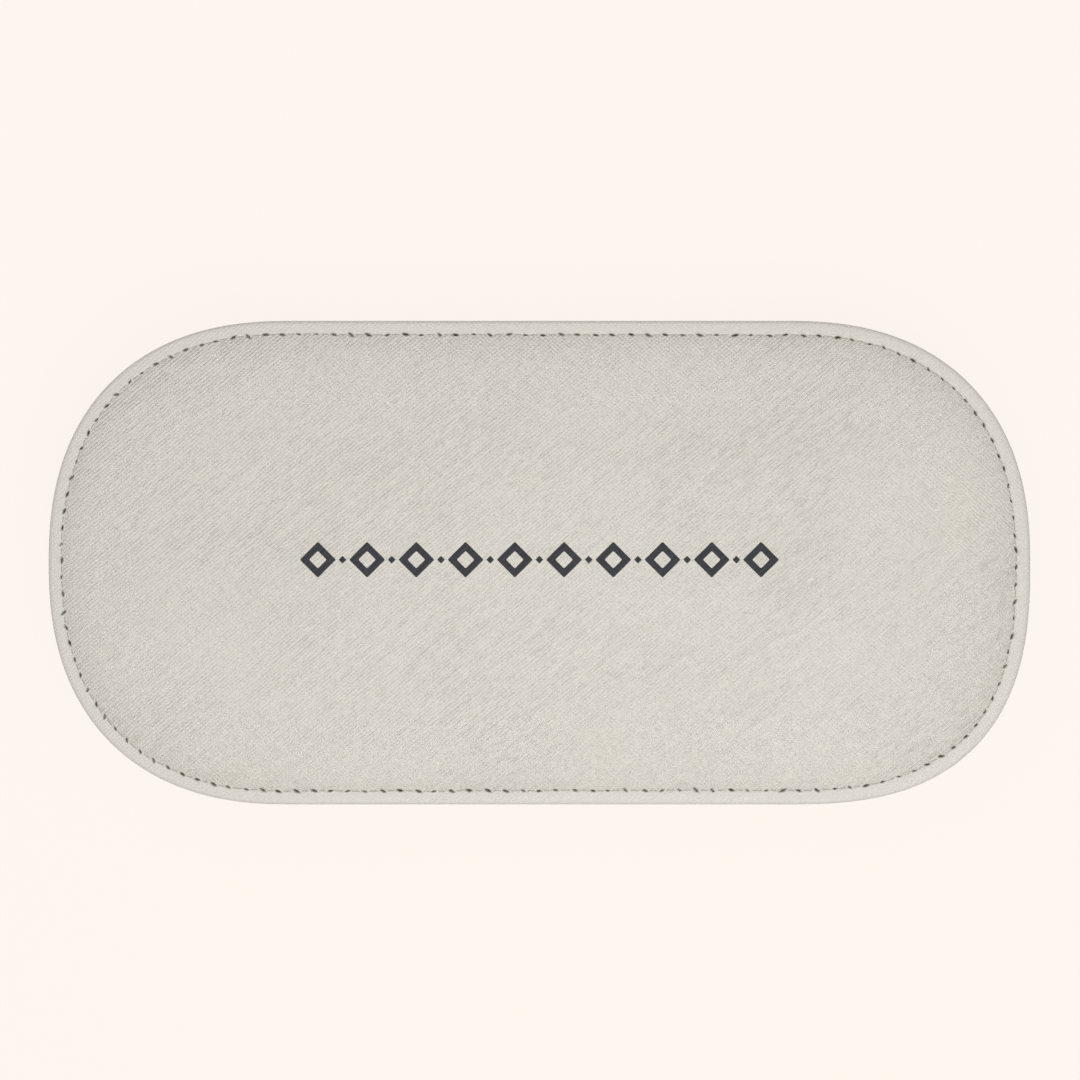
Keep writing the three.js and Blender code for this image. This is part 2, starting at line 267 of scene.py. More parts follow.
class Body:
    """Points and faces that grow piece by piece into one mesh."""

    def __init__(self):
        self.points = []
        self.faces = []
        self.uvs = []

    def ring(self, points, uvs=None):
        """Adds a ring of points and gives back their numbers."""
        start = len(self.points)
        self.points.extend(np.asarray(points, float).tolist())
        self.uvs.extend([(0, 0)] * len(points) if uvs is None else np.asarray(uvs).tolist())
        return list(range(start, len(self.points)))

    def bridge(self, a, b):
        """Joins two rings. One may have a whole multiple of the other's points."""
        count = min(len(a), len(b))
        step_a, step_b = len(a) // count, len(b) // count
        for i in range(count):
            near = [a[(i * step_a + j) % len(a)] for j in range(step_a + 1)]
            far = [b[(i * step_b + j) % len(b)] for j in range(step_b + 1)]
            self.faces.append(tuple(near + far[::-1]))

    def cap(self, ring):
        self.faces.append(tuple(ring))

    def loft(self, rings, uvs=None):
        """Rings joined one to the next, with a cap on each end."""
        uvs = [None] * len(rings) if uvs is None else uvs
        rows = [self.ring(points, pairs) for points, pairs in zip(rings, uvs)]
        for a, b in zip(rows, rows[1:]):
            self.bridge(a, b)
        self.cap(rows[0][::-1])
        self.cap(rows[-1])

    def made(self, name, material, **marks):
        return build_mesh(name, self.points, self.faces, material, self.uvs, **marks)


def smooth_curve(points, count):
    """A Catmull-Rom curve through the points, as count points evenly along it."""
    p = np.asarray(points, float)
    p = np.vstack([2 * p[0] - p[1], p, 2 * p[-1] - p[-2]])
    fine = []
    for i in range(1, len(p) - 2):
        for t in np.linspace(0, 1, 24, endpoint=False):
            fine.append(0.5 * (
                2 * p[i]
                + (p[i + 1] - p[i - 1]) * t
                + (2 * p[i - 1] - 5 * p[i] + 4 * p[i + 1] - p[i + 2]) * t * t
                + (3 * p[i] - p[i - 1] - 3 * p[i + 1] + p[i + 2]) * t ** 3
            ))
    fine = np.array([*fine, p[-2]])
    along = np.concatenate([[0], np.cumsum(np.linalg.norm(np.diff(fine, axis=0), axis=1))])
    at = np.linspace(0, along[-1], count)
    return np.column_stack([np.interp(at, along, fine[:, k]) for k in range(fine.shape[1])])


def rounded_polygon(corners, radius, inset=0.0, steps=6):
    """Points anticlockwise round a convex polygon, moved in by inset, with rounded corners. A
    corner takes at most half of the edges beside it."""
    corners = np.asarray(corners, float)
    edges = np.roll(corners, -1, axis=0) - corners
    edges /= np.linalg.norm(edges, axis=1)[:, None]
    inward = np.column_stack([-edges[:, 1], edges[:, 0]])
    before = np.roll(inward, 1, axis=0)
    share = 1 + np.einsum("ij,ij->i", before, inward)
    moved = corners + inset * (before + inward) / share[:, None]
    lengths = np.linalg.norm(np.roll(moved, -1, axis=0) - moved, axis=1)
    points = []
    for i, here in enumerate(moved):
        round_off = min(max(radius - inset, 0.05), 0.48 * lengths[i - 1], 0.48 * lengths[i])
        start = here - edges[i - 1] * round_off
        end = here + edges[i] * round_off
        for t in np.linspace(0, 1, steps):
            points.append((1 - t) ** 2 * start + 2 * t * (1 - t) * here + t * t * end)
    return np.array(points)


def rectangle(low, high):
    """Its corners, anticlockwise."""
    return [(low[0], low[1]), (high[0], low[1]), (high[0], high[1]), (low[0], high[1])]


def round_rows(thick, bevel, steps=4):
    """(inset, height) rows of a slab with rounded edges on both faces."""
    turn = np.linspace(0, math.pi / 2, steps)
    low = [(bevel * (1 - math.sin(a)), bevel * (1 - math.cos(a))) for a in turn]
    return low + [(inset, thick - height) for inset, height in reversed(low)]


def add_slab(body, corners, radius, thick, bevel, to_space, steps=6):
    """A rounded plate: to_space turns a point of the outline and a height into a 3-D point."""
    rings = []
    for inset, height in round_rows(thick, bevel):
        outline = rounded_polygon(corners, radius, inset, steps)
        rings.append([to_space(u, v, height) for u, v in outline])
    body.loft(rings)


def add_frame(body, outer, inner, radius, thick, bevel, to_space, steps=4):
    """A closed flat frame between two outlines of as many corners."""
    rings = []
    for inset, height in round_rows(thick, bevel):
        outline = rounded_polygon(outer, radius, inset, steps)
        rings.append(body.ring([to_space(u, v, height) for u, v in outline]))
    for inset, height in reversed(round_rows(thick, bevel)):
        outline = rounded_polygon(inner, radius, -inset, steps)
        rings.append(body.ring([to_space(u, v, height) for u, v in outline]))
    for a, b in zip(rings, rings[1:] + rings[:1]):
        body.bridge(a, b)


def add_tube(body, path, radius, sides=8, up=(0, 0, 1)):
    """A closed tube along a path, which never runs along up. radius may be one number or one
    for each point."""
    path = np.asarray(path, float)
    radii = np.broadcast_to(radius, len(path))
    along = np.gradient(path, axis=0)
    along /= np.linalg.norm(along, axis=1)[:, None]
    side = np.cross(along, up)
    side /= np.linalg.norm(side, axis=1)[:, None]
    top = np.cross(side, along)
    gone = np.concatenate([[0], np.cumsum(np.linalg.norm(np.diff(path, axis=0), axis=1))])
    turn = np.linspace(0, 2 * math.pi, sides, endpoint=False)
    rings, uvs = [], []
    for i, centre in enumerate(path):
        rings.append([
            centre + radii[i] * (math.cos(a) * side[i] + math.sin(a) * top[i]) for a in turn
        ])
        uvs.append([(gone[i], a / (2 * math.pi)) for a in turn])
    body.loft(rings, uvs)


# ---------------------------------------------------------------- the outline of the case
def dense_outline():
    """The outline anticlockwise from the middle of the front."""
    angles = np.linspace(-math.pi / 2, math.pi / 2, 4001)

    def end(exponents):
        power = 2 / exponents
        x = STRAIGHT + END_RADIUS * np.abs(np.cos(angles)) ** power
        y = END_RADIUS * np.sign(np.sin(angles)) * np.abs(np.sin(angles)) ** power
        return np.column_stack([x, y])

    right = end(np.where(angles < 0, FULL_POWER, END_POWER))
    left = -end(np.full(len(angles), END_POWER))
    front = [[0, -END_RADIUS]]
    return np.vstack([front, right, left, front])


OUTLINE = dense_outline()
ALONG = np.concatenate([[0], np.cumsum(np.linalg.norm(np.diff(OUTLINE, axis=0), axis=1))])
PERIMETER = ALONG[-1]
PITCH = PERIMETER / STITCHES
TAPE_END = PERIMETER / 2 - (SPINE_HIGH[0] + TAPE_GAP)  # along the outline, from the front


def outline_at(s):
    """Points of the outline, at lengths s along it."""
    s = np.asarray(s) % PERIMETER
    return np.column_stack([np.interp(s, ALONG, OUTLINE[:, k]) for k in (0, 1)])


def inward_at(s):
    """The direction straight in from the outline."""
    ahead = outline_at(np.asarray(s) + 0.5) - outline_at(np.asarray(s) - 0.5)
    ahead /= np.linalg.norm(ahead, axis=1)[:, None]
    return np.column_stack([-ahead[:, 1], ahead[:, 0]])


def half_point(half, s, inset, depth):
    """Points of one half, at lengths s along the outline. Past FAN_INSET they close in on the
    case's middle line, so that a panel's rings never cross."""
    s = np.atleast_1d(s)
    inset = np.broadcast_to(inset, s.shape)
    depth = np.broadcast_to(depth, s.shape)
    flat = outline_at(s) + inward_at(s) * np.minimum(inset, FAN_INSET)[:, None]
    middle = np.column_stack([np.clip(flat[:, 0], -STRAIGHT, STRAIGHT), np.zeros(len(s))])
    share = np.clip((inset - FAN_INSET) / (END_RADIUS - FAN_INSET), 0, 1)[:, None]
    flat = flat + (middle - flat) * share
    return np.column_stack([flat, depth if half == "base" else HEIGHT - depth])


def panel_depth(inset):
    """Depth of the cover's outside below the panel's face, without groove or holes."""
    inset = np.asarray(inset, float)
    pad = SEAM_DEPTH * np.exp(-(inset - SEAM) / PAD_FALL)
    band = CREST_DEPTH + (SEAM_DEPTH - CREST_DEPTH) * ((inset - CREST) / (SEAM - CREST)) ** 2
    return np.where(inset >= SEAM, pad, band)


# ---------------------------------------------------------------- materials
class Paint:
    """A node material under construction."""

    def __init__(self, name):
        self.material = bpy.data.materials.new(name)
        self.material.use_nodes = True
        self.tree = self.material.node_tree
        self.shader = self.tree.nodes["Principled BSDF"]

    def node(self, kind, **settings):
        node = self.tree.nodes.new(kind)
        for key, value in settings.items():
            setattr(node, key, value)
        return node

    def link(self, source, target):
        self.tree.links.new(source, target)

    def set(self, **values):
        """Sets the shader's own sockets, by names such as Specular_IOR_Level."""
        for key, value in values.items():
            self.shader.inputs[key.replace("_", " ")].default_value = value

    def math(self, operation, a, b):
        node = self.node("ShaderNodeMath", operation=operation)
        for socket, value in zip(node.inputs, (a, b)):
            if isinstance(value, (int, float)):
                socket.default_value = value
            else:
                self.link(value, socket)
        return node.outputs[0]

    def place(self, source="Object", turn=0.0, size=(1, 1, 1), about="Z"):
        """Coordinates turned by an angle about an axis and measured in sizes, in millimetres."""
        if source == "UV":
            coordinates = self.node("ShaderNodeUVMap", uv_map="cloth").outputs["UV"]
        else:
            coordinates = self.node("ShaderNodeTexCoord").outputs[source]
        mapping = self.node("ShaderNodeMapping", vector_type="TEXTURE")
        mapping.inputs["Rotation"].default_value["XYZ".index(about)] = math.radians(turn)
        unit = MM if source == "Object" else 1
        mapping.inputs["Scale"].default_value = [value * unit for value in size]
        self.link(coordinates, mapping.inputs["Vector"])
        return mapping.outputs["Vector"]

    def noise(self, vector, detail=2.0, roughness=0.5, distortion=0.0):
        node = self.node("ShaderNodeTexNoise")
        node.inputs["Scale"].default_value = 1
        node.inputs["Detail"].default_value = detail
        node.inputs["Roughness"].default_value = roughness
        node.inputs["Distortion"].default_value = distortion
        self.link(vector, node.inputs["Vector"])
        return node.outputs["Fac"]

    def wave(self, vector, scale, direction="X", distortion=0.0, detail=2.0, detail_scale=1.0):
        node = self.node("ShaderNodeTexWave", wave_type="BANDS", bands_direction=direction)
        node.inputs["Scale"].default_value = scale
        node.inputs["Distortion"].default_value = distortion
        node.inputs["Detail"].default_value = detail
        node.inputs["Detail Scale"].default_value = detail_scale
        self.link(vector, node.inputs["Vector"])
        return node.outputs["Fac"]

    def remap(self, value, low, high, to_low=0.0, to_high=1.0):
        node = self.node("ShaderNodeMapRange")
        for name, number in (
            ("From Min", low), ("From Max", high), ("To Min", to_low), ("To Max", to_high)
        ):
            node.inputs[name].default_value = number
        self.link(value, node.inputs["Value"])
        return node.outputs["Result"]

    def mark(self, name):
        """A number that build_mesh() left on the points, or nought where there is none."""
        return self.node("ShaderNodeAttribute", attribute_name=name).outputs["Fac"]

    def tint(self, base, colour, share):
        """base moved towards a colour by a share from 0 to 1."""
        mix = self.node("ShaderNodeMix", data_type="RGBA")
        self.link(share, mix.inputs[0])
        for socket, value in ((mix.inputs[6], base), (mix.inputs[7], colour)):
            if isinstance(value, tuple):
                socket.default_value = (*value, 1)
            else:
                self.link(value, socket)
        return mix.outputs[2]

    def bump(self, height, distance, strength=1.0):
        node = self.node("ShaderNodeBump")
        node.inputs["Distance"].default_value = distance * MM
        if isinstance(strength, (int, float)):
            node.inputs["Strength"].default_value = strength
        else:
            self.link(strength, node.inputs["Strength"])
        self.link(height, node.inputs["Height"])
        return node.outputs["Normal"]

    def colour(self, source):
        self.link(source, self.shader.inputs["Base Color"])

    def normal(self, source):
        self.link(source, self.shader.inputs["Normal"])

    def roughness(self, source):
        self.link(source, self.shader.inputs["Roughness"])


def pressed_lines(p, turn, about):
    """One family of wavering pressed lines, broken up along their length."""
    lines = p.wave(
        p.place(turn=turn, size=(GRAIN_PITCH * 9, GRAIN_PITCH, GRAIN_PITCH), about=about),
        scale=1 / 3.183, direction="Y", distortion=2.6, detail=2.0, detail_scale=1.2,
    )
    strokes = p.noise(p.place(turn=turn, size=(2.2, 0.34, 0.34), about=about), detail=2.0)
    return p.math("ADD", p.math("MULTIPLY", lines, 0.38), p.math("MULTIPLY", strokes, 0.7))


def leather_paint(name, about="Z"):
    """Saffiano: two crossed families of fine pressed lines over a fine pebble, with a satin
    coating. The rolled edge is stretched smooth. Painted shade darkens the grain's valleys, the
    panel just inside the seam and the needle holes, and a painted highlight lightens the ridges."""
    p = Paint(name)
    patches = p.noise(p.place(size=(34, 26, 26)), detail=1.0)
    share = p.remap(patches, 0.40, 0.64, 0.08, 0.5)
    first = p.math("MULTIPLY", pressed_lines(p, 40, about), p.math("SUBTRACT", 1.0, share))
    second = p.math("MULTIPLY", pressed_lines(p, -42, about), share)
    worn = p.noise(p.place(size=(48, 20, 20)), detail=1.0)
    centred = p.math("SUBTRACT", p.math("ADD", first, second), 0.54)
    grain = p.math("MULTIPLY", centred, p.remap(worn, 0.35, 0.6, 0.86, 1.0))
    pebble = p.noise(p.place(size=(0.27, 0.27, 0.27)), detail=2.0, roughness=0.6)
    height = p.math("ADD", grain, p.math("MULTIPLY", pebble, 0.6))
    smooth = p.math("SUBTRACT", 1.0, p.math("MULTIPLY", p.mark("band"), 0.6))
    p.normal(p.bump(height, GRAIN_BUMP, smooth))
    mottle = p.noise(p.place(size=(11, 9, 9)), detail=3.0)
    base = p.tint(STONE, STONE_WARM, p.remap(mottle, 0.35, 0.65))
    # painted shade in the grain's valleys, and a painted highlight on its ridges
    valley_shade = p.math("MULTIPLY", p.remap(height, -0.10, 0.30, 0.28, 0.0), smooth)
    ridge_highlight = p.math("MULTIPLY", p.remap(height, 0.28, 0.60, 0.0, 0.6), smooth)
    grain_shade_and_highlight = p.tint(p.tint(base, STONE_PAINTED_SHADE, valley_shade), STONE_PAINTED_HIGHLIGHT, ridge_highlight)
    # painted shade on the panel just inside the seam, where it dips
    rimmed = p.tint(grain_shade_and_highlight, STONE_PAINTED_SHADE, p.math("MULTIPLY", p.mark("rim"), 0.38))
    edged = p.tint(rimmed, STONE_BAND, p.math("MULTIPLY", p.mark("band"), 0.9))
    # the needle holes painted nearly black as shade
    p.colour(p.tint(edged, HOLE_PAINTED_SHADE, p.mark("hole")))
    p.roughness(p.remap(pebble, 0.3, 0.7, 0.36, 0.50))
    p.set(Specular_IOR_Level=0.45, Coat_Weight=0.10, Coat_Roughness=0.22)
    return p.material


def suede_paint(name):
    """Microsuede: a short nap, brushed into soft lighter and darker patches."""
    p = Paint(name)
    brushed = p.noise(p.place(size=(16, 7, 7)), detail=3.0, distortion=0.6)
    nap = p.noise(p.place(size=(0.22, 0.22, 0.22)), detail=3.0, roughness=0.7)
    base = p.tint(SUEDE_DARK, SUEDE_LIGHT, p.remap(brushed, 0.3, 0.7))
    p.colour(p.tint(base, SUEDE_DEEP, p.remap(nap, 0.62, 0.35, 0.0, 0.5)))
    p.normal(p.bump(nap, 0.12))
    p.set(Roughness=0.95, Specular_IOR_Level=0.15, Sheen_Weight=0.35, Sheen_Roughness=0.5)
    return p.material


def tape_paint(name):
    """Woven polyester tape: fine ribs along it, crossed by the weft."""
    p = Paint(name)
    ribs = p.wave(p.place("UV"), scale=0.55, direction="Y", distortion=0.3)
    weft = p.wave(p.place("UV", turn=28), scale=0.42, direction="X", distortion=0.5)
    fuzz = p.noise(p.place(size=(0.25, 0.25, 0.25)), detail=3.0)
    height = p.math("ADD", p.math("MULTIPLY", ribs, 0.6), p.math("MULTIPLY", weft, 0.5))
    height = p.math("ADD", height, p.math("MULTIPLY", fuzz, 0.4))
    p.colour(p.tint(TAPE_DARK, TAPE_LIGHT, p.remap(height, 0.4, 1.2)))
    p.normal(p.bump(height, 0.09))
    p.set(Roughness=0.85, Specular_IOR_Level=0.25, Sheen_Weight=0.15)
    return p.material


def thread_paint(name):
    """Twisted sewing thread."""
    p = Paint(name)
    twist = p.wave(p.place("UV", size=(1, 0.45, 1)), scale=0.9, direction="DIAGONAL")
    p.colour(p.tint(THREAD_DARK, THREAD_LIGHT, p.remap(twist, 0.0, 0.8)))
    p.normal(p.bump(twist, 0.05))
    p.set(Roughness=0.6, Specular_IOR_Level=0.35, Sheen_Weight=0.1)
    return p.material


def nylon_paint(name):
    """Moulded nylon, with a slight unevenness."""
    p = Paint(name)
    specks = p.noise(p.place(size=(0.8, 0.8, 0.8)), detail=2.0)
    p.colour(p.tint(NYLON_DARK, NYLON_LIGHT, p.remap(specks, 0.3, 0.7)))
    p.roughness(p.remap(specks, 0.3, 0.7, 0.30, 0.42))
    p.normal(p.bump(specks, 0.02))
    p.set(Specular_IOR_Level=0.5)
    return p.material


def nickel_paint(name):
    """Softly polished nickel plate, with faint rubbing marks."""
    p = Paint(name)
    rubbed = p.noise(p.place(size=(4.0, 0.35, 0.35)), detail=3.0)
    haze = p.noise(p.place(size=(3, 3, 3)), detail=2.0)
    p.colour(p.tint(NICKEL_DARK, NICKEL_LIGHT, p.remap(haze, 0.35, 0.65)))
    p.roughness(p.remap(rubbed, 0.3, 0.7, 0.18, 0.34))
    p.normal(p.bump(rubbed, 0.008))
    p.set(Metallic=1.0)
    return p.material


def ink_paint(name):
    """Dark slate print, pressed into the grain."""
    p = Paint(name)
    rising = p.noise(p.place(turn=40, size=(3.4, 0.5, 0.5)), detail=1.5)
    p.colour(p.tint(INK_DARK, INK_LIGHT, p.remap(rising, 0.35, 0.65)))
    p.normal(p.bump(rising, 0.12))
    p.set(Roughness=0.6, Specular_IOR_Level=0.25)
    return p.material


def plain_paint(name, dark, light, grain, depth, roughness, metallic=0.0):
    """A two-tone material with a fine bump, for foam, board and magnets."""
    p = Paint(name)
    specks = p.noise(p.place(size=(grain, grain, grain)), detail=3.0)
    p.colour(p.tint(dark, light, p.remap(specks, 0.35, 0.65)))
    p.normal(p.bump(specks, depth))
    p.set(Roughness=roughness, Metallic=metallic)
    return p.material


LEATHER_PAINT = leather_paint("saffiano_leather")
SPINE_PAINT = leather_paint("saffiano_leather_spine", about="Y")
SUEDE_PAINT = suede_paint("microsuede")
TAPE_PAINT = tape_paint("zip_tape_cloth")
THREAD_PAINT = thread_paint("sewing_thread")
NYLON_PAINT = nylon_paint("nylon_teeth")
NICKEL_PAINT = nickel_paint("nickel_plate")
INK_PAINT = ink_paint("slate_print")
FOAM_PAINT = plain_paint("pad_foam", (0.72, 0.71, 0.68), (0.82, 0.81, 0.79), 0.5, 0.12, 0.95)
BOARD_PAINT = plain_paint("grey_board", (0.24, 0.23, 0.21), (0.33, 0.32, 0.29), 0.4, 0.05, 0.9)
MAGNET_PAINT = plain_paint(
    "ferrite_magnet", (0.030, 0.030, 0.032), (0.060, 0.060, 0.064), 0.3, 0.03, 0.5, 0.4
)

# ---------------------------------------------------------------- the cover of a half
draw = random.Random(SEED)


def attach(piece, body, node=None):
    """Rides a piece on a body, in place of a CAD node if one is named."""
    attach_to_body(piece, body)
    if node is not None:
        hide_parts(node)


def seam_at(s):
    """The inset of the topstitch at lengths s along the outline."""
    return SEAM + SEAM_WANDER * outline_at(s)[:, 0] / (LENGTH / 2)


def needle_holes():
    """Each hole along the topstitch, drawn a little unevenly: (along, inset, slant, size,
    strength of its painted shade)."""
    return [
        (
            i * PITCH + draw.uniform(-0.28, 0.28),
            seam_at([i * PITCH])[0] + draw.uniform(-0.10, 0.10),
            math.radians(draw.gauss(-14, 18)),
            draw.uniform(0.7, 1.3),
            # strength of the hole's painted shade
            draw.uniform(0.7, 1.0),
        )
        for i in range(STITCHES)
    ]


def hole_share(holes, s, inset):
    """How deep, how much painted shade and how far up its raised lip each point lies, by its
    nearest hole.
    """
    nearest = np.round(s / PITCH).astype(int) % STITCHES
    along, across, slant, size, dark = np.array(holes)[nearest].T
    ds = (s - along + PERIMETER / 2) % PERIMETER - PERIMETER / 2
    dn = inset - across
    u = (ds * np.cos(slant) + dn * np.sin(slant)) / (HOLE_LONG * size)
    v = (dn * np.cos(slant) - ds * np.sin(slant)) / (HOLE_WIDE * size)
    deep = np.exp(-((u * u + np.abs(v)) ** 1.6))
    lip = np.exp(-(((np.hypot(u * 0.8, v * 0.6) - 1.1) / 0.45) ** 2))
    # the middle value is the painted shade in the hole
    return deep, dark * np.clip(deep * 2.4 - 0.5, 0, 1), lip


def edge_rows():
    """(inset, depth, stride) from the crest of the rolled edge round to the hem's underside."""
    power = 2 / EDGE_POWER
    half_thick = (HEM_DEPTH - CREST_DEPTH) / 2
    rows = []
    for a in np.linspace(math.pi / 2, -math.pi / 2, 19):
        across = abs(math.cos(a)) ** power
        rise = math.copysign(abs(math.sin(a)) ** power, math.sin(a))
        rows.append((CREST * (1 - across), CREST_DEPTH + half_thick * (1 - rise), 2))
    return rows


def cover_rows():
    """(inset, depth, stride) rows of the leather: its outside from the panel's middle to the
    crest, and the rest from there to the middle of its inside. A stride of 4 keeps every fourth
    column."""
    face = [(i, 12) for i in (40, 33, 26, 20)]
    face += [(i, 4) for i in (16, 13, 11, 9.2, 7.8, 6.7, 5.9)]
    face += [(i, 2) for i in (5.3, 4.8, 4.4)]
    face += [(i, 1) for i in (4.0, 3.7, 3.5, 3.35)]
    face += [(float(i), 1) for i in np.arange(3.2, 1.95, -0.1)]
    face += [(i, 1) for i in (1.8, 1.5, 1.2)]
    outside = [(inset, float(panel_depth(inset)), stride) for inset, stride in face]
    hem = [(2.0, HEM_DEPTH, 4), (3.2, HEM_DEPTH, 4), (4.2, HEM_DEPTH, 4)]
    hem += [(HEM_REACH, HEM_DEPTH - 0.15, 4), (4.2, HEM_DEPTH - 0.45, 4)]
    inner = [(3.2, 2.85, 12), (2.5, 2.4, 12), (2.7, 2.1, 12)]
    inner += [(i, float(panel_depth(i)) + LEATHER, 12) for i in (4.2, 6, 9, 14, 40)]
    return outside, edge_rows() + hem + inner


def make_cover(half, holes):
    """The leather skin. Its marks say where the rolled edge is, how much painted shade lies just
    inside the seam, and how much painted shade darkens the needle holes."""
    columns = STITCHES * STITCH_COLUMNS
    s = np.arange(columns) * PERIMETER / columns
    outside, rest = cover_rows()
    body = Body()
    rings, band, rim, hole = [], [], [], []
    for number, (inset, depth, stride) in enumerate(outside + rest):
        at = s[::stride]
        is_outside = number < len(outside)
        # dark is the painted shade of the needle holes, nought away from them
        depths, dark = np.full(len(at), depth), np.zeros(len(at))
        if is_outside and HOLE_ZONE[0] < inset < HOLE_ZONE[1]:
            deep, dark, lip = hole_share(holes, at, inset)
            groove = GROOVE * np.exp(-(((inset - seam_at(at)) / GROOVE_WIDE) ** 2))
            depths = depth + groove + HOLE_DEPTH * deep - HOLE_LIP * lip
        rings.append(body.ring(half_point(half, at, inset, depths)))
        past_seam = min(max((SEAM + 0.3 - inset) / 0.5, 0), 1) if is_outside else 1
        band.extend([past_seam] * len(at))
        # painted shade, strongest at the seam and fading inwards
        rim.extend([math.exp(-max(inset - SEAM, 0) / PAD_FALL)] * len(at))
        # painted shade of the needle holes
        hole.extend(dark.tolist())
    for a, b in zip(rings, rings[1:]):
        body.bridge(a, b)
    body.cap(rings[0][::-1])
    body.cap(rings[-1])
    cover = body.made(f"{half}_cover_leather", LEATHER_PAINT, band=band, rim=rim, hole=hole)
    attach(cover, f"{half}_half", f"{half}_cover")


def make_topstitch(half, holes):
    """The thread between the holes, diving into each."""
    body = Body()
    t = np.linspace(0, 1, 9)
    ends = np.abs(2 * t - 1)
    for i, (along, inset, _, size, _) in enumerate(holes):
        next_along, next_inset, _, next_size, _ = holes[(i + 1) % STITCHES]
        next_along += PERIMETER if i == STITCHES - 1 else 0
        start = along + STITCH_END * size
        end = next_along - STITCH_END * next_size
        path = half_point(
            half,
            start + (end - start) * t,
            inset + (next_inset - inset) * t,
            SEAM_DEPTH + THREAD_SUNK + THREAD_DIVE * ends ** 5,
        )
        add_tube(body, path, THREAD * (1 - 0.3 * ends ** 4))
    thread = body.made(f"{half}_topstitch_thread", THREAD_PAINT)
    attach(thread, f"{half}_half")


def make_print():
    """A plain row of open lozenges with a small one between each two, printed on the lid."""
    body = Body()
    reach = PRINT_TALL / 2
    hole = reach - PRINT_STROKE * math.sqrt(2)

    def to_lid(u, v, height):
        return (u, v + PRINT_Y, HEIGHT + PRINT_RAISE - PRINT_THICK + height)

    def lozenge(x, r):
        return [(x - r, 0), (x, -r), (x + r, 0), (x, r)]

    for i in range(PRINT_COUNT):
        x = (i - (PRINT_COUNT - 1) / 2) * PRINT_STEP
        add_frame(body, lozenge(x, reach), lozenge(x, hole), 0.25, PRINT_THICK, 0.02, to_lid)
        if i > 0:
            dot = lozenge(x - PRINT_STEP / 2, PRINT_STROKE * 0.6)
            add_slab(body, dot, 0.15, PRINT_THICK, 0.02, to_lid, steps=3)
    ornament = body.made("lid_print_ornament", INK_PAINT)
    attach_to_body(ornament, "lid_half")


# ---------------------------------------------------------------- lining and zip
def make_lining(half):
    """The microsuede lining: a soft flat sheet with a rounded edge, padded a little."""
    low, high = LINING_LOW[2], LINING_HIGH[2]
    rows = [(39, low, 8), (6, low, 4), (3.7, low, 2), (3.5, low + 0.1, 1), (3.42, low + 0.3, 1)]
    rows += [(3.5, high - 0.12, 1), (3.7, high - 0.03, 1), (4.3, high + 0.02, 1)]
    rows += [(6, high + 0.06, 2), (10, high + 0.08, 4), (39, high + 0.08, 8)]
    columns = STITCHES * 4
    s = np.arange(columns) * PERIMETER / columns
    body = Body()
    body.loft([half_point(half, s[::stride], inset, depth) for inset, depth, stride in rows])
    lining = body.made(f"{half}_lining_suede", SUEDE_PAINT)
    attach(lining, f"{half}_half", f"{half}_lining")


def tape_section():
    """(inset, depth, inset of the inner face) up the tape's wall, thicker at the sewn cord."""
    wall = smooth_curve(TAPE_WALL, 22)
    cord = CORD * np.exp(-(((wall[:, 1] - CORD_DEPTH) / CORD_TALL) ** 2))
    return wall[:, 0] - cord, wall[:, 1], wall[:, 0] + TAPE + cord


def make_tape(half):
    """The zip tape, a cloth wall with a slight ripple."""
    outer, depth, inner = tape_section()
    rise = (depth - depth[0]) / (depth[-1] - depth[0])
    loose = np.sin(rise * math.pi) ** 2
    phases = [draw.uniform(0, 2 * math.pi) for _ in RIPPLES]
    up_wall = np.concatenate([[0], np.cumsum(np.hypot(np.diff(outer), np.diff(depth)))])
    v = np.concatenate([up_wall, 2 * up_wall[-1] + 1 - up_wall])
    depths = np.concatenate([depth, depth[::-1]])
    rings, uvs = [], []
    for at in np.linspace(-TAPE_END, TAPE_END, 361):
        ripple = sum(
            tall * math.sin(at / length + phase)
            for (tall, length), phase in zip(RIPPLES, phases)
        )
        insets = np.concatenate([outer + ripple * loose, (inner + ripple * loose)[::-1]])
        rings.append(half_point(half, np.full(len(insets), at), insets, depths))
        uvs.append(np.column_stack([np.full(len(v), at), v]))
    body = Body()
    body.loft(rings, uvs)
    tape = body.made(f"{half}_zip_tape_cloth", TAPE_PAINT)
    attach(tape, f"{half}_half", f"{half}_zip_tape")


def make_teeth(half):
    """Moulded teeth. Those of the two halves stand half a pitch apart, so that they mesh."""
    count = int((2 * TAPE_END - TOOTH_MARGIN) / TOOTH_PITCH) + 1
    shift = -TOOTH_PITCH / 4 if half == "base" else TOOTH_PITCH / 4
    up = np.array([0, 0, 1 if half == "base" else -1])
    turn = np.linspace(0, 2 * math.pi, 12, endpoint=False)
    round_u = np.sign(np.cos(turn)) * np.abs(np.cos(turn)) ** 0.7
    round_v = np.sign(np.sin(turn)) * np.abs(np.sin(turn)) ** 0.7
    body = Body()
    for i in range(count):
        s = (i - (count - 1) / 2) * TOOTH_PITCH + shift
        centre = half_point(half, s, CHAIN_INSET, CHAIN_DEPTH)[0]
        inward = np.append(inward_at([s])[0], 0)
        ahead = np.array([inward[1], -inward[0], 0])
        body.loft([
            centre + up * height
            + np.outer(round_u * wide, ahead) + np.outer(round_v * thick, inward)
            for height, wide, thick in TOOTH
        ])
    teeth = body.made(f"{half}_zip_teeth", NYLON_PAINT)
    attach(teeth, f"{half}_half", f"{half}_zip_chain")


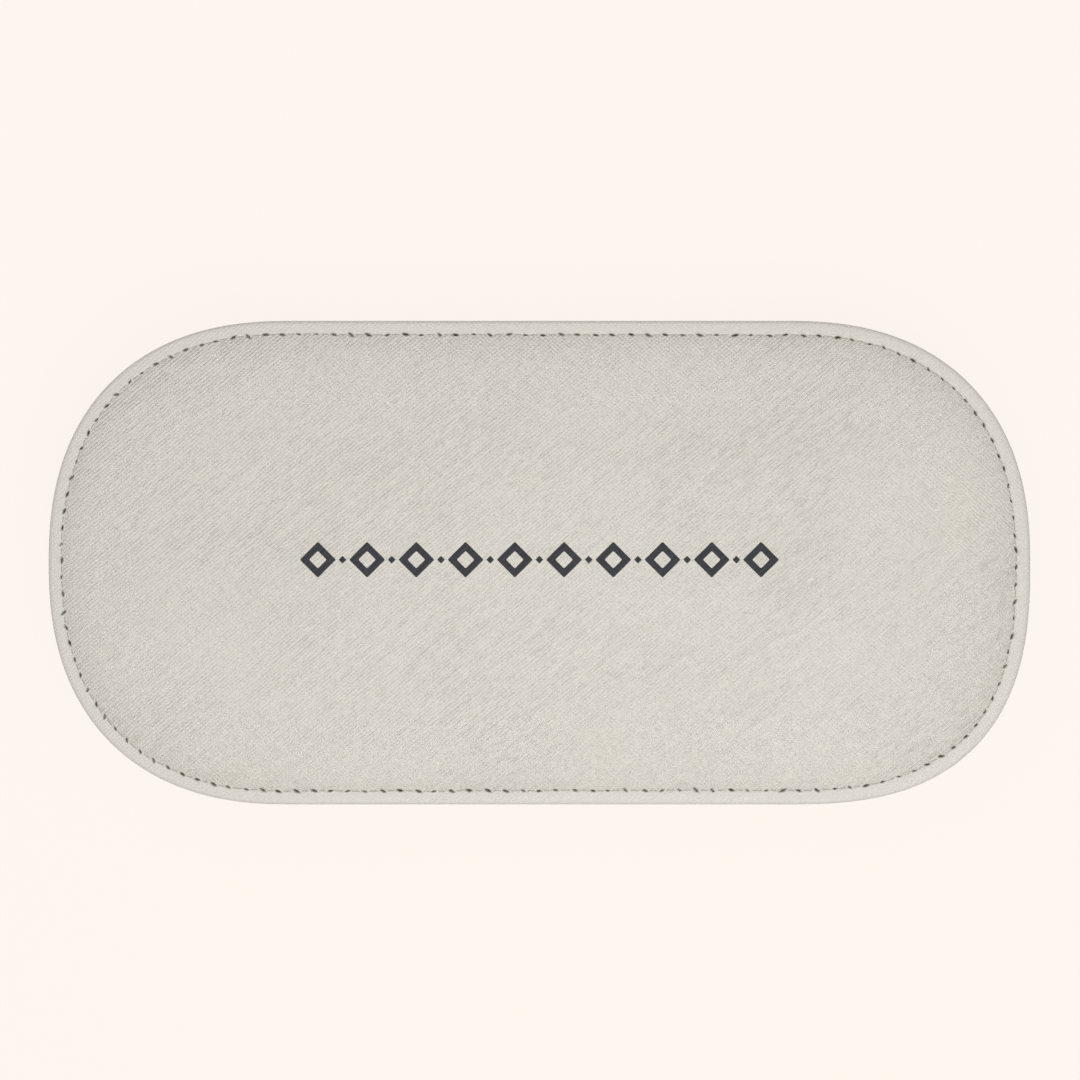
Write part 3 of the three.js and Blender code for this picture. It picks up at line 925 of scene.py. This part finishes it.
def make_stops(half):
    """A crimped metal clip on each end of the teeth: a bridge and two rounded legs."""
    long = STOP_HIGH[0] - STOP_LOW[0]
    middle_y = (STOP_LOW[1] + STOP_HIGH[1]) / 2
    outer = rectangle((-1.38, -1.9), (1.38, 0))
    inner = rectangle((-0.62, -1.2), (0.62, -0.62))
    for side, name in ((-1, "left"), (1, "right")):
        def to_space(u, v, height):
            z = STOP_HIGH[2] + v
            return (side * (STOP_LOW[0] + height), middle_y + u, z if half == "base" else HEIGHT - z)

        body = Body()
        add_frame(body, outer, inner, 0.5, long, 0.25, to_space)
        stop = body.made(f"{half}_zip_stop_{name}_clip", NICKEL_PAINT)
        attach(stop, f"{half}_half", f"{half}_zip_stop_{name}")


# ---------------------------------------------------------------- magnet bars
def add_seam(body, outline, pitch, radius, to_space):
    """Stitches laid round a flat outline, each sinking at both ends."""
    loop = np.vstack([outline, outline[:1]])
    along = np.concatenate([[0], np.cumsum(np.linalg.norm(np.diff(loop, axis=0), axis=1))])
    count = round(along[-1] / pitch)
    step = along[-1] / count
    t = np.linspace(0, 1, 7)
    sunk = np.abs(2 * t - 1) ** 4
    lift = np.subtract(to_space(0, 0, 1), to_space(0, 0, 0))
    for i in range(count):
        at = (i + 0.1 + 0.8 * t) * step
        flat = np.column_stack([np.interp(at, along, loop[:, k]) for k in (0, 1)])
        path = [to_space(u, v, -radius * 1.6 * sink) for (u, v), sink in zip(flat, sunk)]
        add_tube(body, path, radius, up=lift)


def make_bars(half):
    """Two suede channels sewn to the lining, padded by the magnet inside."""
    half_wide, half_long = (BAR_HIGH[0] - BAR_LOW[0]) / 2, (BAR_HIGH[1] - BAR_LOW[1]) / 2
    middle_x = (BAR_HIGH[0] + BAR_LOW[0]) / 2
    puff = BAR_HIGH[2] - BAR_LOW[2] - BAR_FLANGE
    corners = rectangle((-half_wide, -half_long), (half_wide, half_long))
    flange = [(0.05, 0.0), (0.0, 0.15), (0.0, 0.45), (0.1, 0.58), (0.5, BAR_FLANGE), (1.2, 0.58)]
    crown = [
        (1.35 + 3.4 * x, BAR_FLANGE + puff * (1 - (1 - x) ** 2.6) ** (1 / 2.2))
        for x in (0.02, 0.08, 0.16, 0.26, 0.38, 0.52, 0.7, 1.0)
    ]
    for side, name in ((-1, "left"), (1, "right")):
        def lift(u, v, height):
            z = BAR_LOW[2] + height
            return (side * middle_x + u, v, z if half == "base" else HEIGHT - z)

        body = Body()
        body.loft([
            [lift(u, v, height) for u, v in rounded_polygon(corners, BAR_ROUND, inset, 8)]
            for inset, height in flange + crown
        ])
        bar = body.made(f"{half}_magnet_bar_{name}", SUEDE_PAINT)
        attach(bar, f"{half}_half", f"{half}_magnet_cover_{name}")
        thread = Body()
        add_seam(thread, rounded_polygon(corners, BAR_ROUND, BAR_SEAM, 8), BAR_STITCH, BAR_THREAD,
                 lambda u, v, height: lift(u, v, BAR_FLANGE + 0.02 + height))
        seam = thread.made(f"{half}_magnet_bar_{name}_stitching", THREAD_PAINT)
        attach(seam, f"{half}_half")


# ---------------------------------------------------------------- spine
def add_strip(body, path, thick, x_low, x_high):
    """A strip that follows a path in Y and Z, carried along X, with softened ends."""
    path = np.asarray(path, float)
    ahead = np.gradient(path, axis=0)
    ahead /= np.linalg.norm(ahead, axis=1)[:, None]
    side = np.column_stack([ahead[:, 1], -ahead[:, 0]])
    gone = np.concatenate([[0], np.cumsum(np.linalg.norm(np.diff(path, axis=0), axis=1))])
    v = np.concatenate([gone, 2 * gone[-1] + 1 - gone])
    soft = 0.3
    stations = [(x_low, 0.55), (x_low + soft / 3, 0.85), (x_low + soft, 1)]
    stations += [(x, 1) for x in np.linspace(x_low + 4, x_high - 4, 24)]
    stations += [(x_high - soft, 1), (x_high - soft / 3, 0.85), (x_high, 0.55)]
    rings, uvs = [], []
    for x, share in stations:
        reach = thick / 2 * share
        section = np.vstack([path + side * reach, (path - side * reach)[::-1]])
        rings.append([(x, y, z) for y, z in section])
        uvs.append([(x, value) for value in v])
    body.loft(rings, uvs)


def spine_path(layer, turned_y):
    """(y, z) points of a layer that leaves the base level, turns up and ends in the middle."""
    level = layer["level"]
    path = [(y, level) for y in layer["starts"]]
    for a in np.linspace(0, math.pi / 2, 9):
        y = turned_y - SPINE_BEND * (1 - math.sin(a))
        path.append((y, level + SPINE_BEND * (1 - math.cos(a))))
    return path + [(turned_y, z) for z in np.linspace(layer["upright"], MIDDLE, 12)]


def add_spine_piece(half, name, layer, turned_y, reach, paint):
    """One half's part of a layer; the points of its fold are read but not used. Gives back the
    piece.
    """
    def height(z):
        return z if half == "base" else HEIGHT - z

    body = Body()
    path = [(y, height(z)) for y, z in spine_path(layer, turned_y)]
    add_strip(body, path, layer["thick"], -reach, reach)
    piece = body.made(name, paint)
    start, end = ((0, y * MM, height(z) * MM) for y, z in layer["fold"])
    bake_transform(piece)
    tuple(start)
    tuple(end)
    return piece


def make_spine():
    """Leather outside and suede inside, each in a lower and an upper piece that meet in the
    middle of the spine, and the topstitch round the leather."""
    leather_y = (SPINE_LOW[1] + SPINE_HIGH[1]) / 2
    lining_y = (SPINE_IN_LOW[1] + SPINE_IN_HIGH[1]) / 2
    wide = SPINE_HIGH[0] + SPINE_SPREAD
    for half, part in (("base", "lower"), ("lid", "upper")):
        leather = add_spine_piece(
            half, f"spine_leather_{part}", SPINE_LEATHER, leather_y, wide, SPINE_PAINT
        )
        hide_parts("spine_cover")
        lining = add_spine_piece(
            half, f"spine_lining_{part}", SPINE_LINING, lining_y, SPINE_HIGH[0], SUEDE_PAINT
        )
        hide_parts("spine_lining")
    body = Body()
    low = (SPINE_HEM - wide, SPINE_SEAM_Z)
    high = (wide - SPINE_HEM, HEIGHT - SPINE_SEAM_Z)
    add_seam(body, rounded_polygon(rectangle(low, high), 1.5), PITCH, THREAD,
             lambda u, v, height: (u, SPINE_HIGH[1] - 0.02 + height, v))
    seam = body.made("spine_topstitch_thread", THREAD_PAINT)
    attach(seam, "spine")


# ---------------------------------------------------------------- sliders and pulls
def make_slider(side, name):
    """Two shield-shaped plates with lips, a dividing post between them and a bail in front."""
    chain_y = CHAIN_INSET - END_RADIUS
    outer = PLATE_INNER + PLATE
    nose, tail, end = 4.15, 3.3, 5.5  # half heights of the shield's two ends, and its half length

    def spot(x, y, z):
        """x runs towards the other slider and y towards the back, from the teeth."""
        return (-side * (PIVOT[0] + x), chain_y + y, MIDDLE + z)

    shield = [(-end, -tail), (end - 1.2, -nose), (end, -nose + 1.3), (end, nose - 1.3),
              (end - 1.2, nose), (-end, tail)]
    upper_lip = [(-end + 0.5, tail - 0.75), (end - 1.5, nose - 0.8),
                 (end - 1.5, nose - 0.3), (-end + 0.5, tail - 0.25)]
    lower_lip = [(u, -v) for u, v in reversed(upper_lip)]
    post = [(-0.6, 0), (2.4, -1.0), (4.6, 0), (2.4, 1.0)]
    body = Body()
    for face in (-1, 1):
        add_slab(body, shield, 1.5, PLATE, 0.3,
                 lambda u, v, height: spot(u, face * (outer - height), v), steps=8)
        for lip in (lower_lip, upper_lip):
            add_slab(body, lip, 0.2, 0.6, 0.1,
                     lambda u, v, height: spot(u, face * (PLATE_INNER + 0.25 - height), v), steps=3)
    add_slab(body, post, 0.4, 2 * PLATE_INNER + 0.4, 0.05,
             lambda u, v, height: spot(u, height - PLATE_INNER - 0.2, v))
    far = outer + BAIL_REACH - BAIL_WIRE
    half_arch = [(-2.75, 0.4 - outer), (-2.75, 1.0 - far), (-2.45, 0.25 - far), (-1.8, -far)]
    arch = smooth_curve(half_arch + [(-x, y) for x, y in reversed(half_arch)], 33)
    add_tube(body, [spot(x, y, 0) for x, y in arch], BAIL_WIRE, sides=12)
    slider = body.made(f"zip_slider_{name}_metal", NICKEL_PAINT)
    attach(slider, f"slider_{name}", f"zip_slider_{name}")


def make_pull(side, name):
    """The pull: a window over the bail, and a grip with a raised rim."""
    long = PULL_HIGH[0] - PULL_LOW[0] - 0.35

    def spot(thick):
        """Places a plate of that thickness about the pivot's plane."""
        return lambda u, v, height: (
            side * (u - PIVOT[0]), PIVOT[1] - thick / 2 + height, MIDDLE + v
        )

    window = rectangle((-0.35, -1.95), (5.4, 1.95))
    opening = rectangle((0.35, -1.12), (4.2, 1.12))
    grip = [(4.7, -1.6), (7.2, -2.4), (long - 1.6, -2.4), (long, -1.4),
            (long, 1.4), (long - 1.6, 2.4), (7.2, 2.4), (4.7, 1.6)]
    well = [(6.2, -1.1), (7.9, -1.6), (long - 1.9, -1.6), (long - 0.9, -1.0),
            (long - 0.9, 1.0), (long - 1.9, 1.6), (7.9, 1.6), (6.2, 1.1)]
    body = Body()
    add_frame(body, window, opening, 0.5, PULL_THICK, 0.16, spot(PULL_THICK), steps=6)
    add_slab(body, grip, 1.0, PULL_THICK, 0.2, spot(PULL_THICK), steps=6)
    add_frame(body, grip, well, 0.9, PULL_RIM, 0.2, spot(PULL_RIM), steps=6)
    pull = body.made(f"pull_tab_{name}_metal", NICKEL_PAINT)
    attach(pull, f"pull_{name}", f"pull_tab_{name}")


# ---------------------------------------------------------------- hidden CAD pieces
def paint_inside():
    """Foam, boards and magnets stay as the CAD made them, inside their covers."""
    finishes = {"foam_pad": FOAM_PAINT, "board": BOARD_PAINT, "magnet": MAGNET_PAINT}
    for node, obj in frame["nodes"].items():
        if obj.hide_render:  # replaced by a drawn piece
            continue
        kind = next(key for key in finishes if key in node)
        obj.data.materials.clear()
        obj.data.materials.append(finishes[kind])


# ---------------------------------------------------------------- studio
def make_floor():
    """A plain pale floor that mostly glows, so that shadows on it stay faint."""
    mesh = bpy.data.meshes.new("floor")
    corners = rectangle((-FLOOR_REACH, -FLOOR_REACH), (FLOOR_REACH, FLOOR_REACH))
    mesh.from_pydata([(x, y, -FLOOR_DROP) for x, y in corners], [], [(0, 1, 2, 3)])
    floor = bpy.data.objects.new("floor", mesh)
    bpy.context.collection.objects.link(floor)
    p = Paint("floor_paper")
    fibres = p.noise(p.place(size=(3, 3, 3)), detail=3.0)
    p.normal(p.bump(fibres, 0.02))
    p.set(Base_Color=(*FLOOR_PAPER, 1), Roughness=1.0, Specular_IOR_Level=0.0)
    p.set(Emission_Color=(*FLOOR_COLOUR, 1), Emission_Strength=0.94)
    mesh.materials.append(p.material)


def add_light(name, place, size, energy):
    """A round area light that faces the case."""
    light = bpy.data.lights.new(name, "AREA")
    light.shape = "DISK"
    light.size = size
    light.energy = energy
    obj = bpy.data.objects.new(name, light)
    obj.location = place
    aim = Vector(np.subtract(LIGHT_TARGET, place))
    obj.rotation_euler = aim.to_track_quat("-Z", "Y").to_euler()
    bpy.context.collection.objects.link(obj)


def make_world():
    """Soft light from everywhere, with the floor's colour behind it for the camera."""
    world = bpy.data.worlds.new("studio")
    world.use_nodes = True
    bpy.context.scene.world = world
    tree = world.node_tree
    tree.nodes.clear()
    ambient = tree.nodes.new("ShaderNodeBackground")
    ambient.inputs["Color"].default_value = (*AMBIENT, 1)
    ambient.inputs["Strength"].default_value = 0.40
    backdrop = tree.nodes.new("ShaderNodeBackground")
    backdrop.inputs["Color"].default_value = (*FLOOR_COLOUR, 1)
    path = tree.nodes.new("ShaderNodeLightPath")
    mix = tree.nodes.new("ShaderNodeMixShader")
    output = tree.nodes.new("ShaderNodeOutputWorld")
    tree.links.new(path.outputs["Is Camera Ray"], mix.inputs["Fac"])
    tree.links.new(ambient.outputs[0], mix.inputs[1])
    tree.links.new(backdrop.outputs[0], mix.inputs[2])
    tree.links.new(mix.outputs[0], output.inputs["Surface"])


def make_camera():
    """Straight above the lid, with the case a little below the middle of the frame."""
    data = bpy.data.cameras.new("camera")
    data.lens = CAMERA_LENS
    data.sensor_width = CAMERA_SENSOR
    data.clip_start = 0.01
    distance = VIEW_WIDE * CAMERA_LENS / CAMERA_SENSOR
    camera = bpy.data.objects.new("camera", data)
    camera.location = (VIEW_CENTRE[0] * MM, VIEW_CENTRE[1] * MM, (HEIGHT + distance) * MM)
    bpy.context.collection.objects.link(camera)
    bpy.context.scene.camera = camera


# ---------------------------------------------------------------- assembly
make_camera()
for half_name in ("base", "lid"):
    seam_holes = needle_holes()
    make_cover(half_name, seam_holes)
    make_topstitch(half_name, seam_holes)
    make_lining(half_name)
    make_tape(half_name)
    make_teeth(half_name)
    make_stops(half_name)
    make_bars(half_name)
make_print()
make_spine()
for side_sign, side_name in ((-1, "left"), (1, "right")):
    make_slider(side_sign, side_name)
    make_pull(side_sign, side_name)
paint_inside()

bpy.context.scene.view_settings.view_transform = "Standard"
make_world()
make_floor()
for light_settings in LIGHTS:
    add_light(*light_settings)
